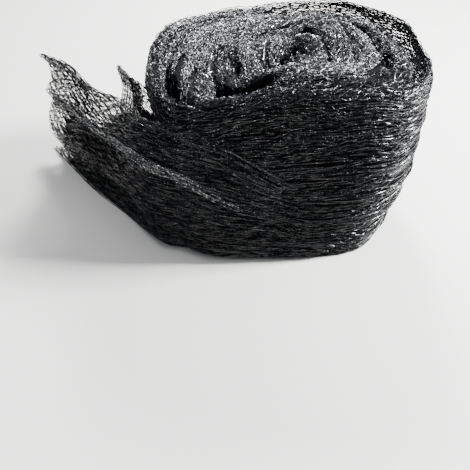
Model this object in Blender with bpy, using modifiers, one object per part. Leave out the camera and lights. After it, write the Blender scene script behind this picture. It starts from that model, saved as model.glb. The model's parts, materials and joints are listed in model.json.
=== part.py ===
"""Bird netting: a gathered band of knitted net, wound into a loose roll that stands on its
end. The open end of the band leaves the roll at the front left and stands on its edge.

The origin is on the ground under the roll. +Z is up, -Y is the front, and the open end
reaches towards -X. All lengths are in metres and all angles in degrees.
"""
import math

import bmesh
import bpy
from mathutils import Vector

# Driving dimensions of the roll
ROLL_CENTRE = Vector((0.016, -0.015))
EYE_CENTRE = Vector((0.018, -0.022))
EYE_DEPTH = 0.040
SEAM_ANGLE = 222.0
TURNS = 5
STEPS = 72

# Outline of the roll: where the wall stands on the ground, where it bellies out, where its
# rim is, and how high
OUTLINE_COLUMNS = ("angle", "base_radius", "belly_radius", "rim_radius", "height")
OUTLINE = (
    (0, 0.120, 0.146, 0.142, 0.203),
    (25, 0.118, 0.144, 0.146, 0.206),
    (45, 0.118, 0.142, 0.146, 0.207),
    (65, 0.116, 0.136, 0.140, 0.205),
    (90, 0.112, 0.128, 0.131, 0.201),
    (115, 0.112, 0.124, 0.128, 0.198),
    (140, 0.114, 0.130, 0.136, 0.196),
    (160, 0.118, 0.136, 0.144, 0.195),
    (180, 0.122, 0.138, 0.146, 0.193),
    (200, 0.130, 0.148, 0.156, 0.188),
    (213, 0.140, 0.156, 0.163, 0.184),
    (224, 0.149, 0.160, 0.164, 0.182),
    (237, 0.137, 0.142, 0.144, 0.189),
    (252, 0.125, 0.127, 0.127, 0.196),
    (270, 0.119, 0.122, 0.118, 0.201),
    (290, 0.127, 0.130, 0.126, 0.203),
    (307, 0.139, 0.143, 0.140, 0.202),
    (322, 0.136, 0.150, 0.149, 0.200),
    (340, 0.127, 0.151, 0.148, 0.200),
)
BELLY_SHARE = 0.60

# Gathered folds that run round the wall. Columns: height as a share of the rim, and how
# far the fold stands out of the plain wall
WALL_FOLDS = (
    (0.00, -0.0045),
    (0.04, -0.0005),
    (0.11, 0.0030),
    (0.18, -0.0020),
    (0.26, 0.0032),
    (0.34, -0.0026),
    (0.42, 0.0030),
    (0.50, -0.0022),
    (0.58, 0.0026),
    (0.66, -0.0026),
    (0.75, 0.0028),
    (0.83, -0.0014),
    (0.91, 0.0016),
    (1.00, -0.0030),
)
FOLD_WANDER = (0.03, 0.02)
FOLD_STRENGTH = 0.85
FOLD_CHANGE = 0.30
LUMPS = (0.0018, 0.0012)

# The lower half of the wall stands out where the open end leaves it: by how much, how many
# degrees past the seam it fades out, and between which shares of the height
END_FOLD_BULGE = 0.0040
END_FOLD_SPREAD = 50.0
END_FOLD_EDGE = (0.56, 0.44)

# How far in from the wall the winding lies. Columns: turns from the seam, and the distance
# inwards as a share of the radius
WINDING = (
    (0.0, 0.000),
    (1.0, 0.042),
    (1.2, 0.095),
    (1.38, 0.165),
    (1.6, 0.190),
    (2.0, 0.205),
    (2.25, 0.285),
    (2.38, 0.350),
    (2.6, 0.415),
    (3.0, 0.500),
    (4.0, 0.660),
    (5.0, 0.815),
    (6.0, 0.935),
)
END_STEP_AT_RIM = 0.018
END_STEP_FADE = (0.78, 0.98)

# Section across one turn, from its outer side to its inner side. Columns: place, as a
# share of the net or of the open valley, and drop, as a share of the valley's depth
NET_SECTION = ((0.00, 0.34), (0.26, 0.00), (0.72, 0.05), (1.00, 0.42))
VALLEY_SECTION = ((0.18, 1.00), (0.80, 1.00))
ROWS = len(NET_SECTION) + len(VALLEY_SECTION)

# Heights of the ridges: the waves along the winding, and the fall towards the eye
CREST_WAVES = (0.004, 0.003)
CREST_FALL = 0.005

# Valleys between the turns, where nothing else is said
PLAIN_OPEN = 0.15
PLAIN_DEPTH = 0.006
OUTER_OPEN = 0.30
OUTER_DEPTH = 0.004

# Deeper valleys. Columns: the turn number where it is deepest, how far it runs along the
# winding, the share of the turn that it opens, and its depth
VALLEYS = (
    (0.46, 0.20, 0.70, 0.040),
    (0.975, 0.065, 0.56, 0.042),
    (1.38, 0.17, 0.28, 0.030),
    (2.055, 0.055, 0.92, 0.058),
    (2.56, 0.12, 0.30, 0.014),
    (4.30, 0.20, 0.36, 0.012),
)

# Sheets of the open end
SHEET_THICKNESS = 0.0020
STRAND_HALF_WIDTH = 0.0014

# First layer of the open end. Plan: points after its root at the seam. Edge: share of the
# way along, and height of the top edge. Reach: share of the way up, and how far along the
# torn far edge lies. Cells: diamonds along and up.
ROOT_DEPTH = 0.0016
ROOT_GAP = 0.0011
LOOSE_PLAN = ((-0.119, -0.108), (-0.172, -0.050), (-0.240, 0.016), (-0.311, 0.098))
LOOSE_EDGE = ((0.0, 0.162), (0.1, 0.173), (0.2, 0.170), (0.3, 0.163), (0.4, 0.155),
              (0.5, 0.154), (0.62, 0.168), (0.75, 0.164), (0.84, 0.162), (1.0, 0.158))
LOOSE_REACH = ((0.0, 1.0), (0.11, 0.885), (0.20, 0.92), (0.37, 1.0), (0.45, 0.97),
               (0.54, 0.845), (0.75, 0.820), (0.9, 0.822), (1.0, 0.810))
LOOSE_CELLS = (16, 13)
LOOSE_PLEAT = 0.0050
LOOSE_RIDGE = 0.0050
LOOSE_SWAY = 0.0120

# Second layer of the open end, which stands behind the first, in the angle by the roll
BACK_ROOT_ANGLE = 211.0
BACK_STAND_OFF = 0.0023
BACK_PLAN = ((-0.137, -0.047), (-0.152, -0.004), (-0.167, 0.040), (-0.190, 0.084))
BACK_EDGE = ((0.0, 0.150), (0.3, 0.150), (0.5, 0.143), (0.7, 0.133), (0.95, 0.138), (1.0, 0.138))
BACK_REACH = ((0.0, 0.92), (0.35, 1.0), (0.62, 0.99), (1.0, 0.95))
BACK_CELLS = (8, 8)
BACK_PLEAT = 0.0045

NET_BLACK = (0.012, 0.013, 0.016, 1.0)


def read_table(rows, place, column, period=None):
    """Value of a column at a place, on a smooth curve through the rows."""
    xs = [row[0] for row in rows]
    ys = [row[column] for row in rows]
    if period:
        place = place % period
        xs = [xs[-1] - period] + xs + [xs[0] + period, xs[1] + period]
        ys = [ys[-1]] + ys + [ys[0], ys[1]]
    place = min(max(place, xs[0]), xs[-1])
    k = 0
    while k < len(xs) - 2 and place > xs[k + 1]:
        k += 1
    width = xs[k + 1] - xs[k]
    before = max(k - 1, 0)
    after = min(k + 2, len(xs) - 1)
    slope_a = (ys[k + 1] - ys[before]) / (xs[k + 1] - xs[before])
    slope_b = (ys[after] - ys[k]) / (xs[after] - xs[k])
    t = (place - xs[k]) / width
    return ((2 * t**3 - 3 * t**2 + 1) * ys[k] + (t**3 - 2 * t**2 + t) * width * slope_a
            + (3 * t**2 - 2 * t**3) * ys[k + 1] + (t**3 - t**2) * width * slope_b)


def ease(low, high, value):
    """0 below low, 1 above high, and smooth between."""
    t = min(max((value - low) / (high - low), 0.0), 1.0)
    return t * t * (3 - 2 * t)


def direction(angle):
    return Vector((math.cos(math.radians(angle)), math.sin(math.radians(angle))))


def outline(angle, column):
    return read_table(OUTLINE, angle, OUTLINE_COLUMNS.index(column), 360)


def rim_height(angle):
    return outline(angle, "height")


def plain_radius(angle, share):
    """Radius of the wall without its folds, at a share of the rim's height."""
    base = outline(angle, "base_radius")
    belly = outline(angle, "belly_radius")
    rim = outline(angle, "rim_radius")
    below = 1.0 - min(share / BELLY_SHARE, 1.0)
    return belly - (belly - base) * below**2.2 + (rim - belly) * ease(BELLY_SHARE, 1.0, share)


def wall_point(angle, share):
    """Point of the wall in plan, at a share of the rim's height."""
    turn = math.radians(angle)
    wander = FOLD_WANDER[0] * math.sin(turn + 0.6) + FOLD_WANDER[1] * math.sin(2 * turn + 2.0)
    fold = read_table(WALL_FOLDS, share + wander * math.sin(math.pi * share), 1)
    uneven = FOLD_STRENGTH + FOLD_CHANGE * math.sin(2 * turn + 7 * share)
    lump = LUMPS[0] * math.sin(3 * turn + 5 * share) + LUMPS[1] * math.sin(7 * turn - 8 * share)
    past_seam = (angle - SEAM_ANGLE) % 360
    end_fold = ease(*END_FOLD_EDGE, share)
    end_fold *= END_FOLD_BULGE * (1.0 - ease(0.0, END_FOLD_SPREAD, past_seam))
    radius = plain_radius(angle, share) + fold * uneven + lump + end_fold
    return ROLL_CENTRE + radius * direction(angle)


def inward_share(turn, share):
    """How far in the winding lies, as a share of the radius. The first turn is thin at
    the rim, where the open end doesn't reach."""
    step = WINDING[1][1]
    if share > END_STEP_FADE[0]:
        step += (END_STEP_AT_RIM - step) * ease(*END_STEP_FADE, share)
    if turn < 1.0:
        return step * turn**1.5
    rows = ((1.0, step),) + WINDING[2:]
    return read_table(rows, turn, 1)


def valley(turn):
    """Open share and depth of the valley on the inner side of a turn."""
    outer = 1.0 - ease(0.9, 1.2, turn)
    opened = PLAIN_OPEN + (OUTER_OPEN - PLAIN_OPEN) * outer
    depth = PLAIN_DEPTH + (OUTER_DEPTH - PLAIN_DEPTH) * outer
    for centre, spread, most_open, most_depth in VALLEYS:
        weight = math.exp(-((turn - centre) / spread) ** 2)
        opened += (most_open - opened) * weight
        depth += (most_depth - depth) * weight
    return opened, depth


def section(row, opened):
    """Place across the turn, from 0 to 1, and drop of one row of the section."""
    if row < len(NET_SECTION):
        place, drop = NET_SECTION[row]
        return place * (1 - opened), drop
    place, drop = VALLEY_SECTION[row - len(NET_SECTION)]
    return 1 - opened + place * opened, drop


def top_point(row, step):
    """Point of the roll's top: a row of the section across the winding, at one step."""
    turn = row // ROWS + step / STEPS
    lean = 0.5 * max(0, row - (TURNS - 1) * ROWS) / ROWS
    angle = SEAM_ANGLE + 360 * (step - lean) / STEPS
    opened, depth = valley(turn)
    place, drop = section(row % ROWS, opened)
    round_turn = math.radians(angle)
    crest = (CREST_WAVES[0] * math.sin(2 * round_turn + 1.9 * turn)
             - CREST_WAVES[1] * math.sin(5 * turn) - CREST_FALL * ease(0.8, 2.5, turn))
    height = rim_height(angle) + crest * ease(0.0, 0.6, turn) - drop * depth
    share = height / rim_height(angle)
    start = inward_share(turn, share)
    end = inward_share(turn + 1, share)
    inward = start + (end - start) * place
    plan = EYE_CENTRE + (1 - inward) * (wall_point(angle, share) - EYE_CENTRE)
    return Vector((plan.x, plan.y, height))


def seam_column(share):
    """Points of the wall loop at one height: once round, then in across the end step."""
    points = []
    for step in range(STEPS):
        angle = SEAM_ANGLE + 360 * step / STEPS
        inward = inward_share(step / STEPS, share)
        plan = EYE_CENTRE + (1 - inward) * (wall_point(angle, share) - EYE_CENTRE)
        points.append((plan, rim_height(angle)))
    for row in range(ROWS, 0, -1):
        place = 1.0 if row == ROWS else section(row, valley(0)[0])[0]
        inward = inward_share(1.0, share) * place
        plan = EYE_CENTRE + (1 - inward) * (wall_point(SEAM_ANGLE, share) - EYE_CENTRE)
        points.append((plan, rim_height(SEAM_ANGLE)))
    return points


def net_material():
    """Black extruded plastic yarn, dull in the mass and bright where it catches light."""
    material = bpy.data.materials.new("black_net")
    material.use_nodes = True
    shader = material.node_tree.nodes["Principled BSDF"]
    shader.inputs["Base Color"].default_value = NET_BLACK
    shader.inputs["Roughness"].default_value = 0.45
    shader.inputs["Metallic"].default_value = 0.0
    return material


def new_object(name, mesh_builder, collection, material):
    """Object from a bmesh, with its material and smooth shading."""
    mesh = bpy.data.meshes.new(name)
    mesh_builder.to_mesh(mesh)
    mesh_builder.free()
    mesh.materials.append(material)
    mesh.shade_smooth()
    mesh.set_sharp_from_angle(angle=math.radians(50))
    item = bpy.data.objects.new(name, mesh)
    collection.objects.link(item)
    return item


def build_roll(collection, material):
    """The wound roll: a loft of wall loops under a top that follows the winding inwards,
    so that each turn is one ridge and the valleys between the turns are real."""
    bm = bmesh.new()
    last_row = TURNS * ROWS
    top = {}
    for row in range(last_row + 1):
        for step in range(STEPS):
            top[row, step] = bm.verts.new(top_point(row, step))

    def next_step(row, step):
        return (row, step + 1) if step + 1 < STEPS else (row + ROWS, 0)

    for row in range(last_row):
        for step in range(STEPS):
            ahead = next_step(row, step)
            ahead_in = next_step(row + 1, step)
            if ahead_in in top:
                bm.faces.new((top[row, step], top[ahead], top[ahead_in], top[row + 1, step]))

    eye_loop = [top[last_row, step] for step in range(STEPS)]
    eye_loop += [top[last_row - k, STEPS - 1] for k in range(1, ROWS + 1)]
    eye_floor = min(vertex.co.z for vertex in eye_loop) - EYE_DEPTH
    eye = bm.verts.new((EYE_CENTRE.x, EYE_CENTRE.y, eye_floor))
    for k, vertex in enumerate(eye_loop):
        bm.faces.new((vertex, eye_loop[(k + 1) % len(eye_loop)], eye))

    above = [top[0, step] for step in range(STEPS)]
    above += [top[row, 0] for row in range(ROWS, 0, -1)]
    for share, bulge in reversed(WALL_FOLDS[:-1]):
        points = seam_column(share)
        below = [bm.verts.new((plan.x, plan.y, share * height)) for plan, height in points]
        for k in range(len(above)):
            ahead = (k + 1) % len(above)
            bm.faces.new((below[k], below[ahead], above[ahead], above[k]))
        above = below
    base = bm.faces.new(list(reversed(above)))
    bmesh.ops.triangulate(bm, faces=[base], ngon_method="EAR_CLIP")
    return new_object("net_roll", bm, collection, material)


def curve_point(points, along):
    """Point on a smooth curve through plan points, at a share of the way along it."""
    spans = [(b - a).length for a, b in zip(points, points[1:])]
    total = sum(spans)
    marks = [sum(spans[:k]) / total for k in range(len(points))]
    rows_x = [(mark, point.x) for mark, point in zip(marks, points)]
    rows_y = [(mark, point.y) for mark, point in zip(marks, points)]
    return Vector((read_table(rows_x, along, 1), read_table(rows_y, along, 1)))


def loose_root(height):
    """Where the open end leaves the seam, at a height, just outside the turn below."""
    share = height / rim_height(SEAM_ANGLE)
    outward = direction(SEAM_ANGLE)
    tangent = Vector((outward.y, -outward.x))
    return wall_point(SEAM_ANGLE, share) - ROOT_DEPTH * outward + ROOT_GAP * tangent


def back_root(height):
    """Where the second layer rests on the left side of the roll, at a height."""
    share = height / rim_height(BACK_ROOT_ANGLE)
    turn = ((BACK_ROOT_ANGLE - SEAM_ANGLE) % 360) / 360
    inward = inward_share(turn, share)
    wall = EYE_CENTRE + (1 - inward) * (wall_point(BACK_ROOT_ANGLE, share) - EYE_CENTRE)
    return wall + (SHEET_THICKNESS / 2 + BACK_STAND_OFF) * direction(BACK_ROOT_ANGLE)


def loose_fold(along, share):
    """Pleats of the open end, as a distance out of its plan curve."""
    pleat = LOOSE_PLEAT * math.sin(2 * math.pi * (2.6 * share + 0.55 * along) + 0.4)
    ridge = LOOSE_RIDGE * math.exp(-((share - 0.62 - 0.10 * along) / 0.07) ** 2)
    sway = -LOOSE_SWAY * math.sin(math.pi * share) * along**2
    return (pleat + sway) * ease(0.0, 0.35, along) + ridge * ease(0.0, 0.12, along)


def back_fold(along, share):
    """Pleats of the second layer, as a distance out of its plan curve."""
    pleat = BACK_PLEAT * math.sin(2 * math.pi * (1.8 * share + 0.4 * along))
    return pleat * ease(0.0, 0.5, along)


def loose_is_open(along, share):
    """The net is spread open at its upper far corner and along its torn edge."""
    upper = share > 0.42 + 0.85 * max(0.0, 0.58 - along)
    return upper or along > 0.86


def back_is_open(along, share):
    return share > 0.34


def build_sheet(name, root, plan, edge, reach, fold, is_open, cells, collection, material):
    """A standing sheet of diamond cells. Each open cell is inset, and its inner face is
    taken out, which leaves the strands. The sheet then gets its thickness."""
    count_along, count_up = (2 * count for count in cells)

    def place(i, j):
        up = j / count_up
        along = i / count_along * read_table(reach, up, 1)
        height = up * read_table(edge, along, 1)
        points = [root(0.0)] + [Vector(point) for point in plan]
        here = curve_point(points, along)
        ahead = curve_point(points, min(along + 0.02, 1.0))
        behind = curve_point(points, max(along - 0.02, 0.0))
        tangent = (ahead - behind).normalized()
        normal = Vector((tangent.y, -tangent.x))
        lean = (root(height) - root(0.0)) * (1 - ease(0.0, 0.6, along))
        spot = here + lean - normal * fold(along, up)
        return Vector((spot.x, spot.y, height))

    bm = bmesh.new()
    grid = {}
    for i in range(count_along + 1):
        for j in range(count_up + 1):
            if (i + j) % 2 == 0:
                grid[i, j] = bm.verts.new(place(i, j))
    open_cells = []
    for i in range(count_along + 1):
        for j in range(count_up + 1):
            if (i + j) % 2 == 0:
                continue
            around = [(i - 1, j), (i, j - 1), (i + 1, j), (i, j + 1)]
            corners = [grid[key] for key in around if key in grid]
            cell = bm.faces.new(corners)
            whole = len(corners) == 4
            along = i / count_along * read_table(reach, j / count_up, 1)
            if whole and is_open(along, j / count_up):
                open_cells.append(cell)
    bmesh.ops.recalc_face_normals(bm, faces=bm.faces)
    bmesh.ops.inset_individual(bm, faces=open_cells, thickness=STRAND_HALF_WIDTH,
                               use_even_offset=True)
    bmesh.ops.delete(bm, geom=open_cells, context="FACES_ONLY")
    sheet = new_object(name, bm, collection, material)
    thickness = sheet.modifiers.new("thickness", "SOLIDIFY")
    thickness.thickness = SHEET_THICKNESS
    thickness.offset = 0.0
    return rest_on_ground(sheet)


def rest_on_ground(item):
    """Make the thickness real, and lay what would reach under the ground flat on it."""
    evaluated = item.evaluated_get(bpy.context.evaluated_depsgraph_get())
    mesh = bpy.data.meshes.new_from_object(evaluated)
    item.modifiers.clear()
    item.data = mesh
    for vertex in mesh.vertices:
        vertex.co.z = max(vertex.co.z, 0.0)
    return item


def main():
    for item in list(bpy.data.objects):
        bpy.data.objects.remove(item, do_unlink=True)
    collection = bpy.data.collections.new("bird_netting")
    bpy.context.scene.collection.children.link(collection)
    material = net_material()
    build_roll(collection, material)
    build_sheet("loose_end", loose_root, LOOSE_PLAN, LOOSE_EDGE, LOOSE_REACH, loose_fold,
                loose_is_open, LOOSE_CELLS, collection, material)
    build_sheet("loose_end_back", back_root, BACK_PLAN, BACK_EDGE, BACK_REACH, back_fold,
                back_is_open, BACK_CELLS, collection, material)


main()
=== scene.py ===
# %% [markdown]
# # A roll of bird netting
#
# This lesson builds the look of one object: a long piece of black knitted net, gathered
# into a band about 0.2 m wide and wound into a loose roll. The roll stands on its end, and
# the open end of the band leaves it at the front left. All lengths are in metres.
#
# The CAD model is loaded first. It gives the true size and the main folds. The pieces below
# are laid over it, and the few sizes that they share with it are repeated here.

# %% Load the frame
import json
import math
import random

import bpy
import numpy as np
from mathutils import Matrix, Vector
from mathutils.bvhtree import BVHTree

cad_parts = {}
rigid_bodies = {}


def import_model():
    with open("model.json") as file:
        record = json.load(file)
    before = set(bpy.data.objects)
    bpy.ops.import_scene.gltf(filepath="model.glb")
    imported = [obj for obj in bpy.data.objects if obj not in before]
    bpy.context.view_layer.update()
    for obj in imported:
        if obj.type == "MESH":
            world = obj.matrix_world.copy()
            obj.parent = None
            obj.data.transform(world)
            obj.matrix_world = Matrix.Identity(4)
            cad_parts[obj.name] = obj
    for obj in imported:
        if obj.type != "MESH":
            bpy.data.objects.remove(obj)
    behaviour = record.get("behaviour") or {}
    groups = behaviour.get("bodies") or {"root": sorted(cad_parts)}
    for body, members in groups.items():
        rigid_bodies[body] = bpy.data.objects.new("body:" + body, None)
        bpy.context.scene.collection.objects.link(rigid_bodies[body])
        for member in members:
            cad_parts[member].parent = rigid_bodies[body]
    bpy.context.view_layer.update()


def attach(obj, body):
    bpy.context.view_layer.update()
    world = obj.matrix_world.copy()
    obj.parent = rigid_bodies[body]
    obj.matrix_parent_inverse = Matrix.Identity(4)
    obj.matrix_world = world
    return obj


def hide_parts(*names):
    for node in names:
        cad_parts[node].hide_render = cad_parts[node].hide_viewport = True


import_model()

# %% [markdown]
# ## Camera, floor and light
#
# The camera stands where the photographer stood: 0.40 m above the ground, a little to the
# left of the roll, and tilted 42 degrees down. Black yarn shows almost no colour of its
# own, so its shape is drawn by reflections. A lamp behind the roll is mirrored in every
# thread that lies across the view, and a low one at the right draws the folds of the wall.
# Two large faint lamps, in front and overhead, and a pale sky fill the shadows.

# %% Camera
CAMERA_PLACE = (-0.04, -0.54, 0.40)
CAMERA_TILT = 48.0
CAMERA_LENS = 38.3

bpy.ops.object.camera_add(location=CAMERA_PLACE, rotation=(math.radians(CAMERA_TILT), 0, 0))
camera = bpy.context.object
camera.data.lens = CAMERA_LENS
bpy.context.scene.camera = camera
print("camera lens:", camera.data.lens)

# %% Floor
FLOOR_COLOUR = (0.72, 0.71, 0.69, 1)

bpy.ops.mesh.primitive_plane_add(size=8.0, location=(0, 0, 0))
floor = bpy.context.object
floor.name = "floor"

floor_paint = bpy.data.materials.new("pale_floor")
floor_paint.use_nodes = True
floor_shader = floor_paint.node_tree.nodes["Principled BSDF"]
floor_shader.inputs["Base Color"].default_value = FLOOR_COLOUR
floor_shader.inputs["Roughness"].default_value = 0.9
floor.data.materials.append(floor_paint)


# %% Lamps
MIDDLE = Vector((0.0, 0.0, 0.1))  # All lamps look at it
LAMPS = (  # name, place, side of its square, watts
    ("back_lamp", (0.00, 1.10, 1.10), 0.40, 68),
    ("right_lamp", (1.20, -0.05, 0.78), 0.28, 130),
    ("front_lamp", (-0.5, -1.0, 1.9), 1.4, 8),
    ("sky_lamp", (-0.1, -0.1, 2.2), 1.6, 24),
)
SKY_COLOUR = (0.82, 0.89, 1.0, 1)
SKY_STRENGTH = 0.24

for name, place, side, watts in LAMPS:
    bpy.ops.object.light_add(type="AREA", location=place)
    light = bpy.context.object
    light.name = name
    light.data.size = side
    light.data.energy = watts
    light.rotation_euler = (MIDDLE - Vector(place)).to_track_quat("-Z", "Y").to_euler()

world = bpy.data.worlds.new("studio")
bpy.context.scene.world = world
world.use_nodes = True
sky = world.node_tree.nodes["Background"].inputs
sky["Color"].default_value = SKY_COLOUR
sky["Strength"].default_value = SKY_STRENGTH

# %% [markdown]
# ## Measuring the roll
#
# The net has to lie on the folds of the CAD roll. Rays that are shot at it from the side
# and from above say how far out its wall stands and how high its top is. The answers are
# kept in a table, because every strand asks for them many times.

# %% Rays at the CAD roll
ROLL_AXIS = Vector((0.016, -0.015))
EYE = Vector((0.018, -0.022))
SEAM = 222.0  # Angle of the outer end of the band, in degrees
ANGLE_STEPS = 360
HEIGHT_STEP = 0.004
HEIGHT_STEPS = 54
LOWEST_RAY = 0.0005
FAR_OUT = 0.3
PAST_RIM = 0.012  # A ray that goes this much further in has passed over the rim
RIM_WINDOW = 17  # Degrees over which the rim is smoothed

roll_mesh = bpy.data.objects["net_roll"].data
roll_tree = BVHTree.FromPolygons([v.co[:] for v in roll_mesh.vertices],
                                 [p.vertices[:] for p in roll_mesh.polygons])


def wall_hit(angle, height):
    """Radius of the roll's wall at an angle and a height, or None above the rim."""
    outward = Vector((math.cos(math.radians(angle)), math.sin(math.radians(angle)), 0))
    start = Vector((ROLL_AXIS.x, ROLL_AXIS.y, height)) + FAR_OUT * outward
    hit = roll_tree.ray_cast(start, -outward, FAR_OUT)[0]
    return None if hit is None else (hit.xy - ROLL_AXIS).length


def top_hit(x, y):
    """Height of the roll's top over a point, or None outside it."""
    hit = roll_tree.ray_cast(Vector((x, y, FAR_OUT)), Vector((0, 0, -1)))[0]
    return None if hit is None else hit.z


wall_radius = np.zeros((ANGLE_STEPS + 1, HEIGHT_STEPS))
rim_height = np.zeros(ANGLE_STEPS + 1)
for i in range(ANGLE_STEPS):
    angle = 360.0 * i / ANGLE_STEPS
    widest = 0.0
    for j in range(HEIGHT_STEPS):
        radius = wall_hit(angle, max(j * HEIGHT_STEP, LOWEST_RAY))
        if radius is None or radius < widest - PAST_RIM:
            wall_radius[i, j] = wall_radius[i, j - 1]
            continue
        widest = max(widest, radius)
        wall_radius[i, j] = radius
        rim_height[i] = j * HEIGHT_STEP
wall_radius[-1] = wall_radius[0]
rim_height[-1] = rim_height[0]

window = np.hanning(RIM_WINDOW)
window /= window.sum()
half = RIM_WINDOW // 2
wrapped = np.concatenate([rim_height[-half - 1:-1], rim_height, rim_height[1:half + 1]])
smooth_rim = np.convolve(wrapped, window, mode="valid")[:ANGLE_STEPS + 1]
print("rim height from", rim_height.min(), "to", rim_height.max())


# %% Reading the tables
def read_wall(angle, height):
    """Radius of the wall at arrays of angles and heights."""
    a = (np.asarray(angle) % 360.0) * ANGLE_STEPS / 360.0
    h = np.clip(np.asarray(height) / HEIGHT_STEP, 0, HEIGHT_STEPS - 1.001)
    i, j = a.astype(int), h.astype(int)
    u, v = a - i, h - j
    low, high = (wall_radius[i, row] * (1 - u) + wall_radius[i + 1, row] * u
                 for row in (j, j + 1))
    return low * (1 - v) + high * v


def read_rim(angle):
    """Height of the rim at an array of angles."""
    a = (np.asarray(angle) % 360.0) * ANGLE_STEPS / 360.0
    return np.interp(a, np.arange(ANGLE_STEPS + 1), smooth_rim)


def on_wall(angle, height, lift):
    """Points outside the wall, at angles, heights and lifts: numbers or arrays."""
    radius = read_wall(angle, height) + lift
    turn = np.radians(angle)
    return np.stack([ROLL_AXIS.x + radius * np.cos(turn),
                     ROLL_AXIS.y + radius * np.sin(turn), height + 0 * radius], axis=-1)


def ease(low, high, value):
    """0 below low, 1 above high, and smooth between, for numbers or arrays."""
    t = np.clip((value - low) / (high - low), 0.0, 1.0)
    return t * t * (3 - 2 * t)


# %% [markdown]
# ## Unevenness
#
# No two strands of a gathered net run alike. A sum of a few slow waves in random
# directions gives an unevenness that is smooth, differs from place to place, and is the
# same on each run because its random numbers are seeded.

# %% A smooth unevenness
FASTEST_WAVE = 1.6
USUAL_HEIGHT = 1.2  # The sum is divided by it, so that it stays within about 1


def uneven(seed, *axes, waves=5):
    """Smooth values from about -1 to 1 over arrays of coordinates."""
    draw = random.Random(seed)
    total = 0.0
    for _ in range(waves):
        phase = draw.uniform(0, math.tau)
        for axis in axes:
            phase = phase + draw.uniform(-FASTEST_WAVE, FASTEST_WAVE) * axis
        total = total + np.sin(phase)
    return total / waves**0.5 / USUAL_HEIGHT


# %% [markdown]
# ## The yarn
#
# The net is knitted from thin black plastic filament. In the mass it is nearly black, and
# where a filament turns towards the light it flashes. A shader group holds what both the
# yarn and the inside of the roll need: slow patches that are a little dustier, and fine
# speckles a millimetre long that change the colour and the roughness along each filament.
# It also paints small bright spots along each filament, which are painted glints, and low
# down it fades the dust and those spots, which is painted shade.

# %% Shader group for filament
def feed(links, value, socket):
    """Gives a socket a number or another socket's value."""
    if isinstance(value, (int, float)):
        socket.default_value = value
    else:
        links.new(value, socket)


def add_noise(nodes, links, source, scale, detail):
    """A noise texture at a scale, on the coordinates from source."""
    noise = nodes.new("ShaderNodeTexNoise")
    noise.inputs["Scale"].default_value = scale
    noise.inputs["Detail"].default_value = detail
    links.new(source, noise.inputs["Vector"])
    return noise.outputs["Fac"]


def add_range(nodes, links, value, low, high, to_low=0.0, to_high=1.0):
    """Maps a value from one range to another, clamped."""
    ramp = nodes.new("ShaderNodeMapRange")
    for name, given in (("Value", value), ("From Min", low), ("From Max", high),
                        ("To Min", to_low), ("To Max", to_high)):
        feed(links, given, ramp.inputs[name])
    return ramp.outputs["Result"]


def add_math(nodes, links, operation, first, second):
    """A sum or a product of two values."""
    node = nodes.new("ShaderNodeMath")
    node.operation = operation
    feed(links, first, node.inputs[0])
    feed(links, second, node.inputs[1])
    return node.outputs[0]


def add_mix(nodes, links, share, first, second):
    """A mix of two colours. A Mix node has sockets of one name for each kind of value, so
    those for colours are picked by number."""
    mix = nodes.new("ShaderNodeMix")
    mix.data_type = "RGBA"
    links.new(share, mix.inputs["Factor"])
    links.new(first, mix.inputs[6])
    links.new(second, mix.inputs[7])
    return mix.outputs[2]


filament = bpy.data.node_groups.new("filament_variation", "ShaderNodeTree")
# The third colour is for painted glints, and the two heights and the share set the painted
# shade low down.
FILAMENT_SOCKETS = (
    ("INPUT", "NodeSocketColor", ("Dark", "Dust And Painted Light", "Painted Glint")),
    ("INPUT", "NodeSocketFloat", ("Painted Glint From", "Painted Shade Height", "Painted Light Height", "Painted Shade Share",
                                  "Smooth", "Rough")),
    ("OUTPUT", "NodeSocketColor", ("Color",)),
    ("OUTPUT", "NodeSocketFloat", ("Roughness", "Height")),
)
for side, kind, names in FILAMENT_SOCKETS:
    for name in names:
        filament.interface.new_socket(name, in_out=side, socket_type=kind)

# %% Filling the group
PATCHES = (14.0, 3.0)  # Scale and detail of each noise
SPECKLES = (380.0, 2.0)
# Scale and detail of the noise for the painted glints, and the width over which they fade in
PAINTED_GLINT_SPOTS = (700.0, 1.0)
PAINTED_GLINT_FADE = 0.04


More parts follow.
